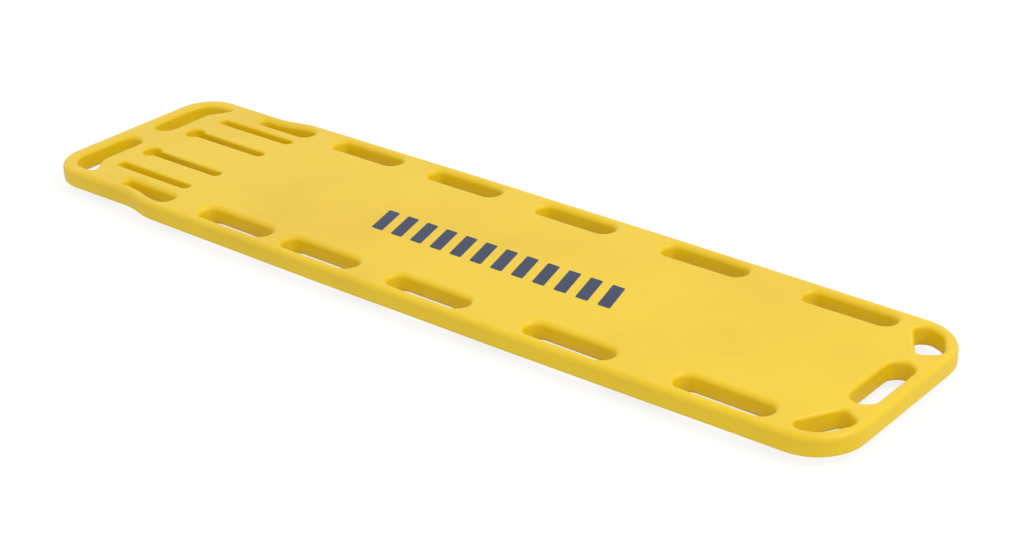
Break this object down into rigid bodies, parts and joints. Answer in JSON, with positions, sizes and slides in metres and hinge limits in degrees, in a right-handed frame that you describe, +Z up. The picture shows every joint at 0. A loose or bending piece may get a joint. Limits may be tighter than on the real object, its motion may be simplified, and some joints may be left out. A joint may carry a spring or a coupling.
{
  "type": "spine board",
  "caption": "Long flat rescue board for carrying a patient lying down, with hand holes round its edge, head strap slots and two runners underneath.",
  "frame": {"origin": "on the ground under the middle of the board's length and width, level with the runners' undersides", "axes": "+X along the board from the head end to the foot end, +Y to the patient's left when the patient lies face up, +Z up through the patient surface"},
  "size_m": [1.84, 0.465, 0.05],
  "materials": {
    "yellow_shell": "satin moulded polyethylene",
    "core_foam": "rigid closed-cell foam",
    "plug_plastic": "moulded polyethylene",
    "tube_composite": "pultruded glass fibre",
    "bung_plastic": "moulded polyethylene"
  },
  "bodies": {
    "root": {"outer_shell": "yellow_shell", "foam_core": "core_foam", "fill_plug": "plug_plastic", "vent_plug_head": "plug_plastic", "vent_plug_foot": "plug_plastic", "stiffener_tube_left": "tube_composite", "stiffener_tube_right": "tube_composite", "tube_bung_left_head": "bung_plastic", "tube_bung_left_foot": "bung_plastic", "tube_bung_right_head": "bung_plastic", "tube_bung_right_foot": "bung_plastic"}
  },
  "joints": []
}
